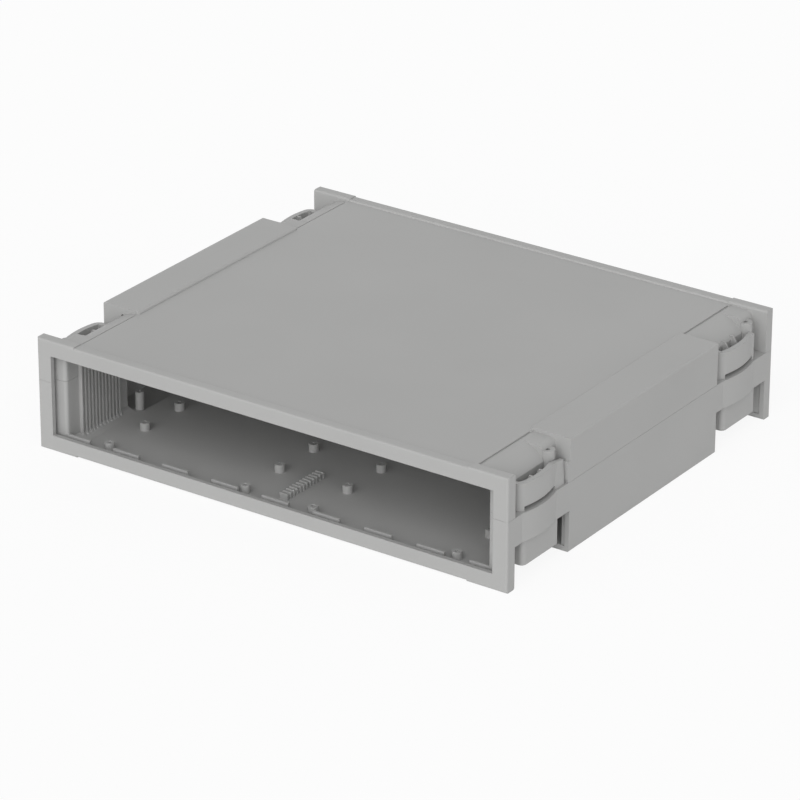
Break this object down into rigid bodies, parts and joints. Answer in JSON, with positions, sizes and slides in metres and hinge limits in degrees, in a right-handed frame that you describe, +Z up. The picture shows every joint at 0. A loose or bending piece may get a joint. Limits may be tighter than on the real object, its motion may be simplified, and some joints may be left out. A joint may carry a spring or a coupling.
{
  "type": "desktop enclosure",
  "caption": "Low grey plastic desktop case in two shells, with open front and rear windows, board pillars, side guides, finger recesses at the corners and screws from below.",
  "frame": {"origin": "centre of the footprint, on the surface that the case rests on", "axes": "+X to the right across the width, +Y from the front window to the rear, +Z up"},
  "size_m": [0.3146, 0.267, 0.0666],
  "materials": {
    "shell_plastic": "fine matt grain",
    "screw_steel": "zinc plated"
  },
  "bodies": {
    "root": {"upper_shell": "shell_plastic", "lower_shell": "shell_plastic", "case_screws": "screw_steel"}
  },
  "joints": []
}
